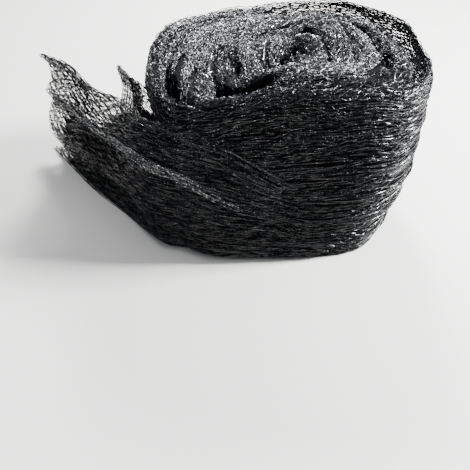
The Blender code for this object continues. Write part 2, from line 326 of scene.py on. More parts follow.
def fill_filament_group(group):
    """Object coordinates, slow patches and fine speckles, mixed to colour and roughness."""
    nodes, links = group.nodes, group.links
    start = nodes.new("NodeGroupInput")
    end = nodes.new("NodeGroupOutput")
    place = nodes.new("ShaderNodeTexCoord").outputs["Object"]
    split = nodes.new("ShaderNodeSeparateXYZ")
    links.new(place, split.inputs["Vector"])
    given = start.outputs
    # Painted shade low down: below the upper height the dust and the bright spots fade, to a
    # share of their strength at the lower height.
    painted_light_share = add_range(nodes, links, split.outputs["Z"], given["Painted Shade Height"],
                           given["Painted Light Height"], given["Painted Shade Share"])
    patches = add_noise(nodes, links, place, *PATCHES)
    speckles = add_noise(nodes, links, place, *SPECKLES)
    spots = add_noise(nodes, links, place, *PAINTED_GLINT_SPOTS)

    # Dust in slow patches and fine speckles, a tone of the filament itself; in the top's yarn
    # its pale colour is painted light.
    dust_and_painted_light = add_math(nodes, links, "MULTIPLY",
                    add_range(nodes, links, patches, 0.36, 0.64, 0.25, 1.0),
                    add_range(nodes, links, speckles, 0.40, 0.66))
    dust_and_painted_light = add_math(nodes, links, "MULTIPLY", dust_and_painted_light, painted_light_share)
    colour = add_mix(nodes, links, dust_and_painted_light, given["Dark"], given["Dust And Painted Light"])

    # Painted glints: small bright spots of their own colour where the fine noise is high
    painted_glint_full = add_math(nodes, links, "ADD", given["Painted Glint From"], PAINTED_GLINT_FADE)
    painted_glint = add_range(nodes, links, spots, given["Painted Glint From"], painted_glint_full)
    painted_glint = add_math(nodes, links, "MULTIPLY", painted_glint, painted_light_share)
    colour = add_mix(nodes, links, painted_glint, colour, given["Painted Glint"])

    rough = add_range(nodes, links, speckles, 0.42, 0.60, given["Rough"], given["Smooth"])
    links.new(colour, end.inputs["Color"])
    links.new(rough, end.inputs["Roughness"])
    links.new(speckles, end.inputs["Height"])


fill_filament_group(filament)
print("shader group:", filament.name, len(filament.nodes), "nodes")

# %% [markdown]
# Three materials share the group. The yarn of the wall is nearly black, with a few painted
# glints, and duller low down, as painted shade. The yarn of the top is paler on its crests,
# with more bright spots: painted light and painted glints, which fade in its deeper places
# as painted shade. The inside of the roll is blacker than both and has no shine, which is
# painted shade.

# %% Materials of the net
BUMP_DEPTH = 0.0004


def net_material(name, look, specular, bump):
    """Black filament: the group's colour and roughness, and a fine bump."""
    material = bpy.data.materials.new(name)
    material.use_nodes = True
    nodes, links = material.node_tree.nodes, material.node_tree.links
    shader = nodes["Principled BSDF"]
    group = nodes.new("ShaderNodeGroup")
    group.node_tree = filament
    for socket, value in look.items():
        group.inputs[socket].default_value = value
    links.new(group.outputs["Color"], shader.inputs["Base Color"])
    links.new(group.outputs["Roughness"], shader.inputs["Roughness"])
    shader.inputs["Specular IOR Level"].default_value = specular
    bumps = nodes.new("ShaderNodeBump")
    bumps.inputs["Strength"].default_value = bump
    bumps.inputs["Distance"].default_value = BUMP_DEPTH
    links.new(group.outputs["Height"], bumps.inputs["Height"])
    links.new(bumps.outputs["Normal"], shader.inputs["Normal"])
    return material


# Wall yarn: nearly black, with a few painted glints, and low on the wall its dust and glints
# fade, as painted shade.
yarn = net_material(
    "net_yarn",
    {"Dark": (0.0012, 0.0016, 0.0026, 1), "Dust And Painted Light": (0.007, 0.0085, 0.012, 1),
     "Painted Glint": (0.30, 0.31, 0.33, 1), "Painted Glint From": 0.66, "Painted Shade Height": 0.04,
     "Painted Light Height": 0.19, "Painted Shade Share": 0.25, "Smooth": 0.15, "Rough": 0.38},
    specular=0.26, bump=0.5)
# Top yarn: its pale dust colour is painted light, it has many painted glints, and in the
# deeper places of the top both fade, as painted shade.
top_yarn_painted_light = net_material(
    "net_top_yarn_painted_light",
    {"Dark": (0.004, 0.0045, 0.006, 1), "Dust And Painted Light": (0.086, 0.090, 0.098, 1),
     "Painted Glint": (0.66, 0.67, 0.69, 1), "Painted Glint From": 0.61, "Painted Shade Height": 0.168,
     "Painted Light Height": 0.192, "Painted Shade Share": 0.03, "Smooth": 0.14, "Rough": 0.40},
    specular=0.9, bump=0.5)
# Inside of the roll: blacker than the yarn and without shine, which is painted shade.
shade = net_material(
    "net_inside",
    {"Dark": (0.0006, 0.0007, 0.0010, 1), "Dust And Painted Light": (0.0016, 0.0019, 0.0026, 1),
     "Painted Glint": (0.01, 0.01, 0.012, 1), "Painted Glint From": 0.80, "Painted Shade Height": 0.0,
     "Painted Light Height": 0.2, "Painted Shade Share": 0.5, "Smooth": 0.6, "Rough": 0.9},
    specular=0.05, bump=1.0)

# %% [markdown]
# ## Strands
#
# A knitted net is drawn the way it is made: as many filaments that run side by side and
# lean on their neighbours by turns, first the one above and then the one below, which
# leaves lens-shaped gaps between them. Each filament is a poly line in one curve object.
# A triangle is swept along them all, which costs six faces a step, and the curve is then
# turned into a mesh.

# %% From lines to filament
WELD = 0.000002


def filament_profile(radius):
    """A triangle, as a curve, that is swept along the lines."""
    bpy.ops.object.select_all(action="DESELECT")
    bpy.ops.mesh.primitive_circle_add(vertices=3, radius=radius)
    bpy.ops.object.convert(target="CURVE")
    return bpy.context.object


def strands(name, lines, radius, material):
    """One mesh piece from lines, each an array of points and whether it is a closed loop.
    Each strand is twisted unevenly, so that its flat sides catch the light by turns."""
    twist = random.Random(len(lines))
    profile = filament_profile(radius)
    curve = bpy.data.curves.new(name, "CURVE")
    curve.dimensions = "3D"
    curve.bevel_mode = "OBJECT"
    curve.bevel_object = profile
    curve.use_fill_caps = True
    for points, closed in lines:
        if len(points) < 2:
            continue
        spline = curve.splines.new("POLY")
        spline.points.add(len(points) - 1)
        flat = np.ones((len(points), 4))
        flat[:, :3] = points
        flat[:, 2] = np.maximum(flat[:, 2], 1.1 * radius)  # Nothing sinks into the ground
        spline.points.foreach_set("co", flat.ravel())
        spline.points.foreach_set("tilt", [twist.uniform(-1.0, 1.0) for _ in points])
        spline.use_cyclic_u = closed
        spline.use_smooth = False
    piece = bpy.data.objects.new(name, curve)
    bpy.context.scene.collection.objects.link(piece)
    bpy.ops.object.select_all(action="DESELECT")
    piece.select_set(True)
    bpy.context.view_layer.objects.active = piece
    bpy.ops.object.convert(target="MESH")
    piece = bpy.context.object
    bpy.data.objects.remove(profile, do_unlink=True)
    bpy.ops.object.mode_set(mode="EDIT")
    bpy.ops.mesh.select_all(action="SELECT")
    bpy.ops.mesh.remove_doubles(threshold=WELD)
    bpy.ops.object.mode_set(mode="OBJECT")
    piece.data.materials.clear()
    piece.data.materials.append(material)
    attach(piece, "root")
    faces = sum(len(p.vertices) - 2 for p in piece.data.polygons)
    print(f"{name}: {len(lines)} strands, {faces} triangles")
    return piece


# %% Stitches, and lines with gaps
HELD = 0.13  # Half of the time that a filament leans on one neighbour, in stitches
STITCH_SIDES = (1.0, 1.0, -1.0, -1.0)


def stitch_wave(count):
    """Where a filament is, from -1 to 1, at each point: held to one neighbour, then to the
    other. Also the place of each point along the strand, in stitches."""
    phases = (-HELD, HELD, 0.5 - HELD, 0.5 + HELD)
    place = np.array([k + phase for k in range(count) for phase in phases])
    return place, np.array(STITCH_SIDES * count)


def kept_runs(points, keep):
    """Splits a line into the runs of points that are kept, as open strands."""
    ends = np.flatnonzero(np.diff(keep.astype(int))) + 1
    runs = zip(np.split(points, ends), np.split(keep, ends))
    return [(run, False) for run, kept in runs if kept[0] and len(run) > 1]


# %% [markdown]
# ## Inside of the roll
#
# Between the outer strands one looks into the roll, at hundreds of layers that swallow
# the light. They are one dark body, just inside the CAD roll, which keeps its folds and
# valleys. Its material is blacker than the yarn and has no shine, which is painted shade.
# It is made from a grid: its columns run round the roll, and its rows run from the middle
# of the lower end, up the wall, over the rim and down into the eye. At the back right the
# outermost layer stands apart, so there the body starts behind it.

# %% Where the outermost layer stands apart
APART_FROM = 318.0
APART_TO = 470.0
APART_FADE = 28.0
APART_DEPTH = 0.040
RIM_PLAN_HEIGHT = 0.95  # The rim's plan is read a little below the rim, as a share of it


def stands_apart(angle):
    """1 where the outermost layer stands apart from the roll, 0 elsewhere."""
    past = (np.asarray(angle) - APART_FROM) % 360.0
    width = APART_TO - APART_FROM
    return ease(0.0, APART_FADE, past) * (1 - ease(width - APART_FADE, width, past))


def rim_plan(angle):
    """Plan point of the rim, as x and y."""
    return on_wall(angle, read_rim(angle) * RIM_PLAN_HEIGHT, 0.0)[..., :2]


# %% The dark body
CORE_COLUMNS = 300
CORE_WALL_ROWS = 26
CORE_TOP_ROWS = 74
CORE_INSET = 0.0014
CORE_TOP_INSET = 0.0015
CORE_TOP_START = 0.012  # Where its top starts, as a share of the way to the eye
CORE_WALL_TOP = 0.004  # How far its wall ends below the rim
CORE_APART_TOP = 0.010  # The same where the outermost layer stands apart
APART_SHARES = np.linspace(0.01, 0.20, 39)  # Where the gap behind that layer is looked for


def core_profile(angle):
    """Points of the body from the middle of its lower end to the eye, at one angle."""
    apart = float(stands_apart(angle))
    rim = float(read_rim(angle))
    outer = rim_plan(angle)
    eye = np.array(EYE)
    start = CORE_TOP_START
    wall_top = rim - CORE_WALL_TOP
    if apart > 0.02:
        spots = [eye + (1 - share) * (outer - eye) for share in APART_SHARES]
        heights = [top_hit(x, y) or rim for x, y in spots]
        lowest = int(np.argmin(heights))
        start += apart * (APART_SHARES[lowest] - start)
        wall_top += apart * (min(heights[lowest], rim - CORE_APART_TOP) - wall_top)
    rows = [(ROLL_AXIS.x, ROLL_AXIS.y, 0.0)]
    for k in range(CORE_WALL_ROWS):
        rows.append(on_wall(angle, wall_top * k / (CORE_WALL_ROWS - 1), -CORE_INSET))
    for k in range(CORE_TOP_ROWS):
        share = start + (1 - start) * (k / (CORE_TOP_ROWS - 1))
        spot = eye + (1 - share) * (outer - eye)
        height = top_hit(*spot)
        height = rows[-1][2] if height is None else height - CORE_TOP_INSET
        rows.append((spot[0], spot[1], height))
    return rows


def dark_body():
    """A grid whose points are moved to the profiles, then closed at its seam and poles."""
    rows = 1 + CORE_WALL_ROWS + CORE_TOP_ROWS
    bpy.ops.object.select_all(action="DESELECT")
    bpy.ops.mesh.primitive_grid_add(x_subdivisions=CORE_COLUMNS, y_subdivisions=rows - 1,
                                    size=1.0)
    body = bpy.context.object
    body.name = "wound_inside"
    profiles = [core_profile(360.0 * i / CORE_COLUMNS) for i in range(CORE_COLUMNS)]
    profiles.append(profiles[0])
    for vertex in body.data.vertices:
        column = round((vertex.co.x + 0.5) * CORE_COLUMNS)
        row = round((vertex.co.y + 0.5) * (rows - 1))
        vertex.co = profiles[column][row]
    bpy.ops.object.mode_set(mode="EDIT")
    bpy.ops.mesh.select_all(action="SELECT")
    bpy.ops.mesh.remove_doubles(threshold=0.00001)
    bpy.ops.mesh.normals_make_consistent(inside=False)
    bpy.ops.object.mode_set(mode="OBJECT")
    bpy.ops.object.shade_smooth()
    body.data.materials.append(shade)
    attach(body, "root")
    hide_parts("net_roll")
    print("dark body:", len(body.data.polygons), "faces")


dark_body()

# %% [markdown]
# ## The wall
#
# On the wall the strands run round the roll, pulled nearly straight by the winding. Three
# nets lie over each other: a fine close one, a wider one, and a few loose strands that
# stand a little proud and catch the light. The strands crowd together on the crests of the
# gathered folds and part between them.

# %% Strands round the wall
CLIMB = 18.0  # How far a strand's stitches lie ahead of its neighbours', in degrees
FOLDS, FOLD_CROWDING = 12, 0.0105  # Gathered folds over the height, and how far they pull
FINE_FOLDS, FINE_CROWDING = 27, 0.004
WANDER = 0.030
FOOT_HEIGHT = 0.0006


def wall_lines(seed, count, stitches, low, high, lift, open_low, open_high):
    """Lines round the roll, in runs where the outermost layer doesn't stand apart. All the
    nets share one flow, so that their strands crowd and part in the same places."""
    draw = random.Random(seed)
    place, wave = stitch_wave(stitches)
    share = (np.arange(count) + 0.5) / count
    gap = 1.0 / count
    lines = []
    for k in range(count):
        here = share[k] + 0 * place
        slope = CLIMB * uneven(seed + 9, np.array([share[k] * 9]))[0]
        angle = SEAM + 360.0 * place / stitches + slope
        turn = np.radians(angle)
        sine, cosine = np.sin(turn), np.cos(turn)
        crowd = FOLD_CROWDING * np.sin(
            math.tau * here * FOLDS + 3.0 * uneven(4, sine * 2, cosine * 2, here * 4))
        crowd = crowd + FINE_CROWDING * np.sin(
            math.tau * here * FINE_FOLDS + 5.0 * uneven(5, sine * 4, cosine * 4, here * 9))
        wander = WANDER * uneven(7, sine * 2.2, cosine * 2.2, here * 3)
        parted = uneven(11, sine * 10, cosine * 10, here * 26, waves=8)
        parted = open_low + (open_high - open_low) * ease(-0.1, 1.0, parted)
        level = here + (crowd + wander) * np.sin(math.pi * here)
        level = level + (-1) ** k * wave * gap * 0.5 * parted
        crinkle = np.array([draw.gauss(0.0, 1.0) for _ in place])
        level = level + crinkle * gap * (0.05 + 0.25 * ease(0.6, 1.0, level))
        height = (low + (high - low) * level) * read_rim(angle)
        slide = 0.9 * uneven(seed + 2, turn * 3, here * 60)
        proud = lift + 0.0008 * uneven(seed + 3, turn * 9, here * 90) + 0.0002 * crinkle
        points = on_wall(angle + slide, np.maximum(height, FOOT_HEIGHT), proud)
        keep = height < read_rim(angle) - APART_DEPTH * stands_apart(angle)
        if keep.all():
            lines.append((points, True))
            continue
        first = int(np.argmin(keep))
        points, keep = np.roll(points, -first, axis=0), np.roll(keep, -first)
        lines += kept_runs(points, keep)
    return lines


# Seed, strands, stitches, lowest and highest share of the height, lift, and how far the
# gaps open at least and at most
strands("wall_close_net", wall_lines(3, 100, 44, 0.0, 1.0, 0.0000, 0.1, 1.4), 0.00040, yarn)
strands("wall_wide_net", wall_lines(8, 80, 38, 0.0, 0.995, 0.0008, 0.05, 1.3), 0.00042, yarn)
strands("wall_loose_net", wall_lines(15, 58, 33, 0.01, 0.98, 0.0016, 0.0, 1.0), 0.00042, yarn)

# %% [markdown]
# ## The top
#
# On top one sees the edge of the band as it winds inwards. A short table says how far in
# the winding is after each turn. Across a turn the strands lie at equal steps along the
# surface, so they follow it down the sides of the valleys too, where equal steps seen from
# above would leave it bare.

# %% The winding
WINDING_TURNS = (0.0, 1.0, 1.2, 1.38, 1.6, 2.0, 2.25, 2.38, 2.6, 3.0, 4.0, 5.0, 6.0)
WINDING_INWARD = (0.0, 0.020, 0.095, 0.165, 0.190, 0.205, 0.285, 0.350, 0.415, 0.500, 0.660,
                  0.815, 0.935)
SECTION_SAMPLES = 26
LOOK_AHEAD = 0.002


def winding_point(turn, across):
    """Plan point of the winding, after some turns and at a share across the band."""
    start = np.interp(turn, WINDING_TURNS, WINDING_INWARD)
    end = np.interp(turn + 1.0, WINDING_TURNS, WINDING_INWARD)
    share = start + (end - start) * across
    outer = rim_plan(SEAM + 360.0 * turn)
    eye = np.array(EYE)
    return eye + (1 - share) * (outer - eye)


def cross_section(turn):
    """Points of the CAD's surface across one turn of the band, from outside to inside."""
    rows = []
    for across in np.linspace(0.0, 1.0, SECTION_SAMPLES):
        x, y = winding_point(turn, across)
        height = top_hit(x, y)
        if height is None:
            height = rows[-1][2] if rows else float(read_rim(SEAM + 360.0 * turn))
        rows.append((x, y, height))
    return np.array(rows)


def along_section(section, share):
    """Points at shares of a section's length, with the directions that point out of it."""
    steps = np.linalg.norm(np.diff(section, axis=0), axis=1)
    length = np.concatenate([[0.0], np.cumsum(steps)])
    at = np.clip(share, 0.0, 1.0) * length[-1]
    points, ahead = (np.stack([np.interp(place, length, column) for column in section.T],
                              axis=-1) for place in (at, at + LOOK_AHEAD))
    across = ahead - points
    inward = np.array([EYE.x, EYE.y, 0.0]) - section[0]
    inward[2] = 0.0
    inward /= np.linalg.norm(inward)
    slope = across @ inward
    out = np.stack([-across[:, 2] * inward[0], -across[:, 2] * inward[1], slope], axis=-1)
    size = np.linalg.norm(out, axis=1, keepdims=True)
    return points, out / np.maximum(size, 1e-6)


# %% [markdown]
# The top has bright crests and dark places, so its strands are made of two yarns: the
# pale top yarn, which is painted light, and the dark wall yarn, which is painted shade.
# Dark are the bottoms of the valleys, fine folds along the band, the outer face at the
# left, the slopes round the crescent-shaped hollow, and the front, where the net is drawn
# tight over the rim. The gaps between the lobes of the band are left without strands.

# %% Dark places of the top
# Depth below the rim from which the top's strands are of dark yarn, as painted shade
DARK_BELOW = 0.016

# Gaps between lobes of the band, the crescent-shaped hollow among them: half their width,
# then points of their plan
DARK_GAPS = (
    (0.0034, (-0.095, -0.020), (-0.098, -0.043), (-0.099, -0.076), (-0.094, -0.105),
     (-0.088, -0.128)),
    (0.0026, (-0.081, -0.043), (-0.083, -0.074), (-0.082, -0.106)),
    (0.0034, (-0.036, -0.036), (-0.043, -0.058), (-0.049, -0.085)),
    (0.0155, (-0.034, -0.095), (-0.012, -0.090)),
    (0.0030, (0.010, 0.046), (0.029, 0.062), (0.048, 0.056), (0.058, 0.031), (0.060, 0.007)),
    (0.0028, (0.016, 0.004), (0.037, 0.013), (0.051, -0.007)),
    (0.0030, (0.063, 0.066), (0.078, 0.043), (0.082, 0.010)),
    (0.0034, (0.052, -0.018), (0.058, -0.043), (0.046, -0.072), (0.033, -0.096)),
    (0.0030, (0.114, -0.043), (0.097, -0.076), (0.082, -0.104)),
)

# Shaded slopes round that hollow, where every other lane is left out and the rest are of
# dark yarn, as painted shade, in the same columns
DARK_HOLLOW = (
    (0.0095, (-0.042, -0.060), (-0.041, -0.080)),
    (0.0130, (-0.041, -0.080), (-0.038, -0.097)),
    (0.0160, (-0.031, -0.089), (-0.010, -0.088)),
    (0.0110, (-0.010, -0.090), (0.006, -0.087)),
)

FRONT_TURNS = 1.36  # The outer turns that are drawn tight at the front
FRONT_FADE = (0.24, 0.34)  # Where the front ends, as a share of a turn
LEFT_FACE = 0.86  # The turn number where the outer face of the left side turns dark
LEFT_FACE_SHARE = 0.45
FOLD_SEED, FOLD_LEVEL = 77, 0.42
FOLDS_A_TURN, FOLDS_ACROSS = 2.5, 18


# On the front band the top's strands are of dark yarn, as painted shade, and most loops are
# left out.
def on_front_band(turn):
    """1 on the two outer turns at the front, where the net is drawn tight over the rim."""
    return (1 - ease(*FRONT_FADE, turn % 1.0)) * float(turn < FRONT_TURNS)


def in_gap(points, gaps):
    """Which points of the top lie over one of the gaps."""
    inside = np.zeros(len(points), dtype=bool)
    for half_width, *corners in gaps:
        for start, end in zip(np.array(corners), np.array(corners)[1:]):
            ahead = end - start
            share = np.clip((points[:, :2] - start) @ ahead / (ahead @ ahead), 0.0, 1.0)
            aside = points[:, :2] - start - share[:, None] * ahead
            inside |= np.linalg.norm(aside, axis=1) < half_width
    return inside


# In these folds the top's strands are of dark yarn, as painted shade in the creases, and most
# loops are left out.
def fine_fold(turn, share):
    """Whether a place on top lies in one of the fine folds that run along the band."""
    along = turn * FOLDS_A_TURN + 0 * share
    return uneven(FOLD_SEED, along, share * FOLDS_ACROSS) > FOLD_LEVEL


# %% Strands along the winding
TOP_STEP = 0.0040
FIRST_TURN, LAST_TURN = 0.06, 5.85

turn_places = [FIRST_TURN]  # Turn numbers at equal steps along the winding
while turn_places[-1] < LAST_TURN:
    x, y = winding_point(turn_places[-1], 0.5)
    radius = max(math.hypot(x - EYE.x, y - EYE.y), 0.010)
    turn_places.append(turn_places[-1] + TOP_STEP / (math.tau * radius))
sections = [cross_section(turn) for turn in turn_places]


def top_lines(seed, lanes, lift, rough):
    """Lines that follow the winding inwards, each in its lane across the band. The first
    list holds their runs in bright places, the second their runs in dark ones."""
    share = (np.arange(lanes) + 0.5) / lanes
    grid, keep, dark = [], [], []
    for k, (turn, section) in enumerate(zip(turn_places, sections)):
        sway = uneven(seed, turn * 9 + 0 * share, share * 4)
        jitter = rough * uneven(seed + 1, k * 1.3 + 0 * share, share * 47)
        level = share + 0.05 * sway * np.sin(math.pi * share)
        level = level + STITCH_SIDES[k % 4] * (-1.0) ** np.arange(lanes) * 0.5 / lanes
        points, out = along_section(section, level + 0.25 * jitter / lanes)
        height = lift + 0.0012 * rough * uneven(seed + 2, k * 0.9 + 0 * share, share * 33)
        grid.append(points + out * height[:, None])
        angle = SEAM + 360.0 * turn
        apart = stands_apart(angle)
        lowest = int(np.argmin(section[:, 2])) / (SECTION_SAMPLES - 1)
        behind_gap = share > lowest if apart > 0.3 and turn < 1.0 else share > 0.0
        hollow = in_gap(points, DARK_HOLLOW)
        thinned = hollow & (np.arange(lanes) % 2 > 0)
        keep.append(behind_gap & ~in_gap(points, DARK_GAPS) & ~thinned)
        sunk = read_rim(angle) - points[:, 2]
        left_face = (LEFT_FACE < turn < 1.0) & (share < LEFT_FACE_SHARE)
        # Places whose strands are drawn in dark yarn, as painted shade
        dark.append((on_front_band(turn) > 0.5) | (sunk > DARK_BELOW) | left_face | hollow
                    | fine_fold(turn, share))
    grid, keep, dark = np.array(grid), np.array(keep), np.array(dark)
    both = dark | np.roll(dark, 1, axis=0)
    lit_lines, shaded_lines = [], []
    for lane in range(lanes):
        column = grid[:, lane]
        lit_lines += kept_runs(column, keep[:, lane] & ~dark[:, lane])
        shaded_lines += kept_runs(column, keep[:, lane] & both[:, lane])
    return lit_lines, shaded_lines


# Seed, lanes across the band, lift and roughness
close_lit, close_shaded = top_lines(21, 28, 0.0002, 1.2)
loose_lit, loose_shaded = top_lines(34, 12, 0.0012, 2.2)
# Runs in bright places are of the pale top yarn, as painted light; runs in dark places are of
# the dark wall yarn, as painted shade.
strands("top_lit_net", close_lit + loose_lit, 0.00037, top_yarn_painted_light)
strands("top_shaded_net", close_shaded + loose_shaded, 0.00038, yarn)

# %% [markdown]
# ## Loops on the top
#
# The edge of a gathered net is a mass of small loops: each stitch at a fold turns back on
# itself and stands up. They are what makes the top look grainy, and they look bright
# because they are of the top yarn, with its painted light and painted glints. Each loop is
# a short arch, most of them along the winding, and they are thickest on the crests.

# %% Small loops
LOOPS_THIN_AT, LOOPS_END_AT = 0.008, 0.017  # Depths below the rim
BARE_FRONT = 0.93  # Shares of the loops that are left out on the front and in fine folds
BARE_FOLDS = 0.92
LOOP_LEAN = 0.6
LOOP_TILT = 0.8
LOOP_PLACES = (-1.0, -0.4, 0.4, 1.0)  # Its points, from foot to foot


def loop_lines(seed, count, halves, rises):
    """Short arches on the top, with half widths and rises between two limits. Longer
    sections get more of them."""
    draw = random.Random(seed)
    lengths = [np.linalg.norm(np.diff(section, axis=0), axis=1).sum() for section in sections]
    picks = draw.choices(range(len(turn_places)), weights=lengths, k=2 * count)
    lines = []
    for k in picks:
        turn = turn_places[k]
        angle = SEAM + 360.0 * turn
        if turn < 1.0 and stands_apart(angle) > 0.2 or k > len(turn_places) - 2:
            continue
        share = np.array([draw.uniform(0.0, 1.0)])
        points, out = along_section(sections[k], share)
        foot, up = points[0], out[0]
        sunk = read_rim(angle) - foot[2]
        if draw.random() < ease(LOOPS_THIN_AT, LOOPS_END_AT, sunk):
            continue
        in_dark = in_gap(points, DARK_GAPS + DARK_HOLLOW)[0]
        if draw.random() < BARE_FRONT * on_front_band(turn) or in_dark:
            continue
        if draw.random() < BARE_FOLDS * fine_fold(turn, share)[0]:
            continue
        along = np.array([EYE.y - foot[1], foot[0] - EYE.x, 0.0])
        along /= max(np.linalg.norm(along), 1e-6)
        side = np.cross(along, up)
        lean = draw.gauss(0.0, LOOP_LEAN)
        span = math.cos(lean) * along + math.sin(lean) * side
        half = draw.uniform(*halves)
        rise = draw.uniform(*rises)
        tilt = draw.uniform(-LOOP_TILT, LOOP_TILT)
        lines.append((np.array([
            foot + span * half * t + (up + tilt * side) * rise * (1 - t * t)
            for t in LOOP_PLACES]), False))
        if len(lines) == count:
            break
    return lines


large_loops = loop_lines(5, 6000, (0.0012, 0.0036), (0.0008, 0.0034))
small_loops = loop_lines(6, 6600, (0.0008, 0.0022), (0.0006, 0.0024))
strands("top_loops", large_loops, 0.00032, top_yarn_painted_light)
strands("top_grains", small_loops, 0.00034, top_yarn_painted_light)

# %% [markdown]
# ## The layer that stands apart
#
# At the back right the outermost layer of the band has come away from the roll and stands
# by itself. It is thin there and pulled open, so the ground shows through it. Three nets of
# different stitch lie over each other in it, as they do where a real net is folded.

# %% The sheer outer layer
BEFORE_APART, AFTER_APART = 6.0, 34.0  # How far it reaches past its gap, in degrees
OUTER_RISE = 25.0
OUTER_FALL = 30.0
BELOW_GAP = 0.014


def apart_lines(seed, rows, stitches, lift, raised):
    """Lines of net round the back right, from below the rim to above it."""
    start, end = APART_FROM - BEFORE_APART, APART_TO + AFTER_APART
    place, wave = stitch_wave(stitches)
    angle = start + (end - start) * (place + HELD) / stitches
    turn = np.radians(angle)
    ends = ease(start, start + OUTER_RISE, angle) * (1 - ease(end - OUTER_FALL, end, angle))
    lines = []
    for k in range(rows):
        share = (k + 0.5) / rows + 0 * turn
        top = read_rim(angle) + raised * ends + 0.003 * uneven(seed, turn * 3)
        bottom = read_rim(angle) - (APART_DEPTH + BELOW_GAP) * (0.25 + 0.75 * ends)
        parted = 0.25 + 1.0 * ease(-0.4, 0.9, uneven(seed + 4, turn * 11, share * 16))
        level = share + (-1) ** k * wave * 0.5 / rows * parted
        level = level + 0.045 * uneven(6, turn * 4, share * 7)
        height = bottom + (top - bottom) * level
        proud = lift + 0.0012 * uneven(seed + 1, turn * 4, share * 5)
        lines.append((on_wall(angle + 0.8 * uneven(seed + 2, turn * 5, share * 30),
                              height, proud), False))
    return lines


# Seed, strands, stitches, lift, and how far it is raised above the rim
outer_net = (apart_lines(2, 42, 36, 0.0008, 0.004) + apart_lines(12, 33, 31, -0.0006, 0.003)
             + apart_lines(14, 26, 27, -0.0018, 0.000))
strands("outer_layer", outer_net, 0.00054, yarn)

# %% [markdown]
# ## The open end
#
# The open end leaves the front left of the roll and stands on its edge. Its plan is a
# smooth curve, its top edge and its torn far edge come from short tables, and its pleats
# push it out of the curve, as in the CAD sheet. Its strands start far round on the front
# of the roll, so that they flow out of the wall with no edge.

# %% Standing sheets
def smooth_table(rows, place):
    """Value at a place on a smooth curve through rows of place and value."""
    xs, ys = zip(*rows)
    place = min(max(place, xs[0]), xs[-1])
    k = max(i for i in range(len(xs) - 1) if xs[i] <= place)
    before, after = max(k - 1, 0), min(k + 2, len(xs) - 1)
    width = xs[k + 1] - xs[k]
    slope_a = (ys[k + 1] - ys[before]) / (xs[k + 1] - xs[before])
    slope_b = (ys[after] - ys[k]) / (xs[after] - xs[k])
    t = (place - xs[k]) / width
    return ((2 * t**3 - 3 * t**2 + 1) * ys[k] + (t**3 - 2 * t**2 + t) * width * slope_a
            + (3 * t**2 - 2 * t**3) * ys[k + 1] + (t**3 - t**2) * width * slope_b)


def plan_curve(points):
    """Tables of x and y against the share of the way along plan points."""
    spans = [math.dist(a, b) for a, b in zip(points, points[1:])]
    marks = [sum(spans[:k]) / sum(spans) for k in range(len(points))]
    return [[(mark, point[axis]) for mark, point in zip(marks, points)] for axis in (0, 1)]


def root_at(angle, height, lift):
    """Point just outside the wall, in plan."""
    return on_wall(angle, height, lift)[:2]


def sheet_point(plan, edge, fold, root, along, up, lift):
    """Point of a standing sheet at shares of the way along and up."""
    table_x, table_y = plan
    height = up * smooth_table(edge, along)
    x, y = smooth_table(table_x, along), smooth_table(table_y, along)
    near, far = max(along - 0.02, 0.0), min(along + 0.02, 1.0)
    tangent = Vector((smooth_table(table_x, far) - smooth_table(table_x, near),
                      smooth_table(table_y, far) - smooth_table(table_y, near))).normalized()
    out = Vector((-tangent.y, tangent.x))
    lean = (root(height) - root(FOOT)) * (1 - ease(0.0, 0.6, along))
    shift = fold(along, up) + lift
    return (x + lean[0] + out.x * shift, y + lean[1] + out.y * shift, height)


# %% Sizes of the open end
FOOT = 0.001
LOOSE_ANGLE = SEAM + 1.5
LOOSE_LIFT = -0.0016
LOOSE_PLAN = plan_curve([tuple(root_at(LOOSE_ANGLE, FOOT, LOOSE_LIFT)),
                         (-0.119, -0.108), (-0.172, -0.050), (-0.240, 0.016),
                         (-0.311, 0.098)])
LOOSE_EDGE = ((0.0, 0.162), (0.1, 0.173), (0.2, 0.170), (0.3, 0.163), (0.4, 0.155),
              (0.5, 0.154), (0.62, 0.168), (0.75, 0.164), (0.84, 0.162), (1.0, 0.158))
LOOSE_REACH = ((0.0, 1.0), (0.11, 0.885), (0.20, 0.92), (0.37, 1.0), (0.45, 0.97),
               (0.54, 0.845), (0.75, 0.820), (0.9, 0.822), (1.0, 0.810))


def loose_fold(along, up):
    """Pleats of the open end, as a distance out of its plan curve."""
    pleat = 0.0050 * math.sin(math.tau * (2.6 * up + 0.55 * along) + 0.4)
    ridge = 0.0050 * math.exp(-((up - 0.62 - 0.10 * along) / 0.07) ** 2)
    sway = -0.012 * math.sin(math.pi * up) * along**2
    return (pleat + sway) * ease(0.0, 0.35, along) + ridge * ease(0.0, 0.12, along)


def loose_root(height):
    """Where the open end leaves the wall, at a height."""
    return root_at(LOOSE_ANGLE, height, LOOSE_LIFT)


def loose_point(along, up, lift):
    """Point of the open end."""
    return sheet_point(LOOSE_PLAN, LOOSE_EDGE, loose_fold, loose_root, along, up, lift)


low_line = [loose_point(k / 40, 0.3, 0.0)[:2] for k in range(41)]
LOOSE_LENGTH = sum(math.dist(a, b) for a, b in zip(low_line, low_line[1:]))
print("open end reaches", round(LOOSE_LENGTH, 3), "m from the seam")

# %% [markdown]
# Low in the open end many layers lie close together, and only its far edge is open net. So
# it is made of five groups of strands over one dense dark sheet, which ends before them.

# %% Strands of the open end
ON_WALL_ANGLE = 62.0
ON_WALL_LENGTH = 0.150
BUNDLE_STEP = 0.0066  # Between strands of a bundle, as a share of the height
NARROWING = 0.42  # How much lower the strands lie at their start on the wall
UNDER_WALL_NET = 0.0032  # How far their starts sink below the nets of the wall
LOWEST_UP = 0.004


